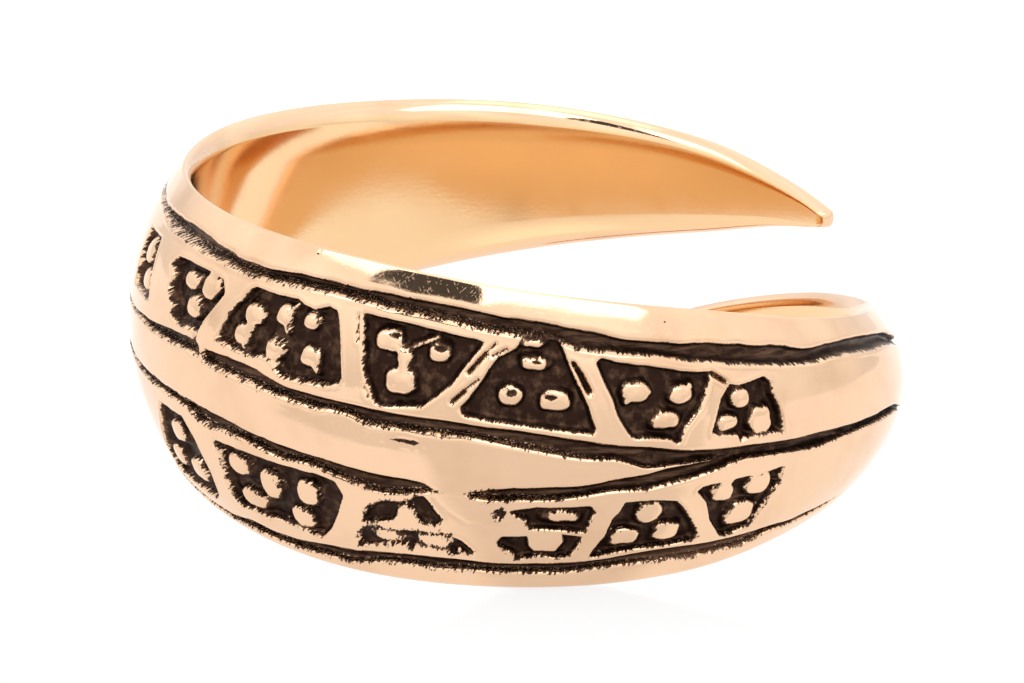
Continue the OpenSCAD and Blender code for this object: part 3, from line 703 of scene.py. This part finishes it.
def laid_noise(tree, turn, length, width, detail, rough):
    """Noise on the unrolled band, its grains laid at an angle, with a length and width in mm."""
    laid = tree.nodes.new("ShaderNodeMapping")
    laid.vector_type = "TEXTURE"
    laid.inputs["Rotation"].default_value = (0, 0, math.radians(turn))
    laid.inputs["Scale"].default_value = (length, width, 1)
    tree.links.new(unrolled, laid.inputs["Vector"])
    grain = node(tree, "ShaderNodeTexNoise", Scale=1.0, Detail=detail, Roughness=rough)
    tree.links.new(laid.outputs["Vector"], grain.inputs["Vector"])
    return grain.outputs["Fac"]


# the patina ends in clumps and crumbs where the edge is torn, and cleanly elsewhere
clumps = plus(tree, noise_value(tree, here, CLUMPS_PER_MM, 2), -0.42)
crumbs = plus(tree, laid_noise(tree, CRUMB_TURN, CRUMB_LENGTH, CRUMB_WIDTH, 3, 0.6), -0.5)
tear = plus(tree, times(tree, clumps, CLUMP_REACH), times(tree, crumbs, CRUMB_REACH))
tear = times(tree, tear, torn_edge)
edge = plus(tree, plus(tree, recess, tear), times(tree, crumbs, FINE_REACH))
softness = plus(tree, times(tree, torn_edge, TORN_EDGE), CLEAN_EDGE)
dark = spread_map(tree, math_node(tree, "DIVIDE", edge, softness), 0.0, 1.0)
deep = spread_map(tree, edge, *EDGE_TO_DEEP)
# bright specks where the wheel touched the grain of a torn groove
speck = spread_map(tree, noise_value(tree, here, SPECKS_PER_MM, 2), 0.585, 0.62)
speck = times(tree, speck, spread_map(tree, torn_edge, 0.35, 0.8))
speck = times(tree, speck, times(tree, in_groove, spread_map(tree, recess, 0.15, 0.05)))
dark = times(tree, dark, opposite(tree, speck))
deep = times(tree, deep, opposite(tree, speck))

# thinner, browner patina in blotches, in streaks along the rubbed floors of the grooves,
# and over the lowest groove, most of all at its right
blotches = noise_value(tree, here, BLOTCHES_PER_MM, 4, 0.62)
blotches = spread_map(tree, blotches, 0.45, 0.75, 0, 0.75)
along_band = tree.nodes.new("ShaderNodeMapping")
along_band.inputs["Scale"].default_value = (0.8, 7.0, 1.0)
tree.links.new(unrolled, along_band.inputs["Vector"])
streaks = node(tree, "ShaderNodeTexNoise", Scale=1.0, Detail=3, Roughness=0.6)
tree.links.new(along_band.outputs["Vector"], streaks.inputs["Vector"])
streak = times(tree, spread_map(tree, streaks.outputs["Fac"], 0.36, 0.70), in_groove)
streak = times(tree, streak, spread_map(tree, recess, 0.06, 0.16))
across = tree.nodes.new("ShaderNodeSeparateXYZ")
tree.links.new(unrolled, across.inputs["Vector"])
smudge = times(tree, spread_map(tree, across.outputs["Y"], -2.1, -2.4), in_groove)
smudge = times(tree, smudge, spread_map(tree, across.outputs["X"], 7.0, 11.0, 0.2, 0.9))
thin = larger(tree, larger(tree, blotches, streak), smudge)
patina_colour = mix_colour(tree, thin, PATINA, THIN_PATINA)
patina_colour = mix_colour(tree, deep, WORN_EDGE, patina_colour)
tarnish = noise_value(tree, here, TARNISH_PER_MM, 3, 0.55)
tarnish = spread_map(tree, tarnish, 0.46, 0.72, 0, 0.75)
metal_colour = mix_colour(tree, tarnish, POLISHED, TARNISHED)
# painted reflection: the bore's colour is tinted more orange, as the bronze looks where it mirrors
# itself
metal_colour = mix_colour(tree, bore_wall, metal_colour, PAINTED_BORE_REFLECTION)
tree.links.new(mix_colour(tree, dark, metal_colour, patina_colour), shader.inputs["Base Color"])
tree.links.new(spread_map(tree, deep, 0, 1, 1, 0.92), shader.inputs["Metallic"])

# fine scratches of polishing and wear, most of them on the border that stands proud
# (degrees from along the band, length in mm, width in mm, how few of them, up to 1)
SCRATCHES = [(42, 0.35, 0.03, 0.67), (-55, 0.28, 0.028, 0.68), (6, 0.5, 0.03, 0.70)]
scratches = 0.0
for turn, length, width, few in SCRATCHES:
    lines = laid_noise(tree, turn, length, width, 2, 0.5)
    scratches = larger(tree, spread_map(tree, lines, few, few + 0.03), scratches)
proud = spread_map(tree, across.outputs["Y"], 3.7, 4.2, 0.2, 1)
scratches = times(tree, times(tree, scratches, proud), opposite(tree, bore_wall))

haze = spread_map(tree, noise_value(tree, here, HAZE_PER_MM, 3), 0.3, 0.7, 0.04, 0.09)
haze = plus(tree, haze, times(tree, bore_wall, BORE_ROUGHNESS))
haze = plus(tree, haze, times(tree, scratches, SCRATCH_ROUGHNESS))
rough = larger(tree, haze, times(tree, dark, PATINA_ROUGHNESS))
tree.links.new(rough, shader.inputs["Roughness"])

pits = noise_value(tree, here, PITS_PER_MM, 4, 0.65)
pits = times(tree, pits, spread_map(tree, dark, 0, 1, 0.04, 1))
hair = times(tree, streaks.outputs["Fac"], 0.012)
surface = plus(tree, plus(tree, pits, hair), times(tree, scratches, -0.10))
bump = node(tree, "ShaderNodeBump", Strength=0.7, Distance=BUMP_HEIGHT)
tree.links.new(surface, bump.inputs["Height"])
tree.links.new(bump.outputs["Normal"], shader.inputs["Normal"])

cast_band.data.materials.append(bronze)
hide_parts("ring_band")
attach(cast_band, "root")

# The studio
# A sheet of white acrylic, lit softly from below and less in front, lies in a white light tent.
# Windows of light are above it, and a dark gap between two of them. In the middle of the ring the
# sheet glows more, a painted pool of light where light falls through the ring.

# (left edge, back edge) in mm of each area that is lit less, on to the right and the front
LESS_LIT_AREAS = [(-11, -21.5), (4.5, -6)]
AREA_EDGE = 1.0 * MM  # the light changes over this distance on either side of an area's edge
# how bright the sheet glows where fully and less lit, and the extra glow of a painted pool of light
# in the middle of the ring, with its middle and the distances over which it fades
FULL_GLOW, LESS_GLOW, PAINTED_POOL_GLOW = 1.00, 0.79, 0.20
PAINTED_POOL_MIDDLE = (0.6 * MM, -1.2 * MM, 0)
PAINTED_POOL_INNER, PAINTED_POOL_OUTER = 1.5 * MM, 4.0 * MM

floor_mesh = bpy.data.meshes.new("floor")
shape = bmesh.new()
bmesh.ops.create_grid(shape, x_segments=1, y_segments=1, size=1.5)
shape.to_mesh(floor_mesh)
shape.free()
floor = bpy.data.objects.new("floor", floor_mesh)
bpy.context.scene.collection.objects.link(floor)
acrylic = bpy.data.materials.new("acrylic")
acrylic.use_nodes = True
acrylic_shader = acrylic.node_tree.nodes["Principled BSDF"]
acrylic_shader.inputs["Base Color"].default_value = (0.15, 0.15, 0.15, 1)
acrylic_shader.inputs["Roughness"].default_value = 0.9
acrylic_shader.inputs["Specular IOR Level"].default_value = 0.1
acrylic_shader.inputs["Emission Color"].default_value = (1, 1, 1, 1)
tree = acrylic.node_tree
on_sheet = tree.nodes.new("ShaderNodeSeparateXYZ")
sheet_places = tree.nodes.new("ShaderNodeTexCoord").outputs["Object"]
tree.links.new(sheet_places, on_sheet.inputs["Vector"])
less_lit = 0.0
for left, back in LESS_LIT_AREAS:
    left, back = left * MM, back * MM
    right_of = spread_map(tree, on_sheet.outputs["X"], left - AREA_EDGE, left + AREA_EDGE)
    in_front = spread_map(tree, on_sheet.outputs["Y"], back + AREA_EDGE, back - AREA_EDGE)
    less_lit = larger(tree, times(tree, right_of, in_front), less_lit)
# painted pool of light: the sheet glows more round the middle of the ring, where light falls
# through it
off_centre = node(tree, "ShaderNodeVectorMath", operation="DISTANCE")
tree.links.new(sheet_places, off_centre.inputs[0])
off_centre.inputs[1].default_value = PAINTED_POOL_MIDDLE
painted_pool = spread_map(
    tree, off_centre.outputs["Value"], PAINTED_POOL_INNER, PAINTED_POOL_OUTER, PAINTED_POOL_GLOW, 0)
glow = plus(tree, spread_map(tree, less_lit, 0, 1, FULL_GLOW, LESS_GLOW), painted_pool)
tree.links.new(glow, acrylic_shader.inputs["Emission Strength"])
floor_mesh.materials.append(acrylic)

world = bpy.data.worlds.new("tent")
world.use_nodes = True
bpy.context.scene.world = world
tree = world.node_tree
sky = tree.nodes["Background"]
direction = tree.nodes.new("ShaderNodeTexCoord").outputs["Generated"]


def out_towards(azimuth, elevation):
    """The way from the ring to a place in the tent, azimuth from the front in degrees."""
    a, e = math.radians(azimuth), math.radians(elevation)
    return Vector((math.sin(a) * math.cos(e), -math.cos(a) * math.cos(e), math.sin(e)))


def along_axis(tree, direction, axis):
    """How far a direction goes along an axis, from -1 to 1."""
    made = node(tree, "ShaderNodeVectorMath", operation="DOT_PRODUCT")
    tree.links.new(direction, made.inputs[0])
    made.inputs[1].default_value = axis
    return made.outputs["Value"]


def panel(tree, direction, corners, soft):
    """1 inside a panel of the tent and 0 outside it, from its corners as seen by the ring."""
    corners = [out_towards(*corner) for corner in corners]
    middle = sum(corners, Vector())
    share = 1.0
    for first, second in zip(corners, corners[1:] + corners[:1]):
        side = first.cross(second).normalized()
        if side.dot(middle) < 0:
            side = -side
        share = times(tree, spread_map(tree, along_axis(tree, direction, side), -soft, soft), share)
    return share


# the tent's walls are brighter overhead than at the horizon, and its cloth has soft folds
TENT_LOW, TENT_HIGH = 1.08, 1.42
rise = along_axis(tree, direction, (0, 0, 1))
light = spread_map(tree, rise, 0.0, 0.6, TENT_LOW, TENT_HIGH)
folds = node(tree, "ShaderNodeTexNoise", Scale=2.6, Detail=2, Roughness=0.5)
tree.links.new(direction, folds.inputs["Vector"])
light = times(tree, light, spread_map(tree, folds.outputs["Fac"], 0.35, 0.65, 0.93, 1.06))
# ([(azimuth, elevation) of each corner], softness of the edge, brightness)
PANELS = [
    ([(22, 47.9), (53, 46.6), (82, 38.5), (90, 43), (86, 62), (6, 66), (8, 57)], 0.008, 3.0),
    ([(-50.5, 41.0), (-22, 44.6), (-12, 57), (-20, 70), (-58, 60)], 0.008, 2.9),
    ([(-27, 42.8), (-4, 45.3), (23, 48.0), (23.5, 51), (21, 56), (8, 62), (0, 62), (-14, 54)],
     0.008, 0.09),
    ([(-120, 72), (-40, 74), (40, 74), (120, 72), (180, 72)], 0.03, 2.0),
]
for corners, soft, brightness in PANELS:
    share = panel(tree, direction, corners, soft)
    mixed = tree.nodes.new("ShaderNodeMix")
    tree.links.new(share, mixed.inputs[0])
    tree.links.new(light, mixed.inputs[2])
    mixed.inputs[3].default_value = brightness
    light = mixed.outputs[0]
tree.links.new(light, sky.inputs["Strength"])
sky.inputs["Color"].default_value = (1, 1, 1, 1)

bpy.context.scene.view_settings.view_transform = "Standard"
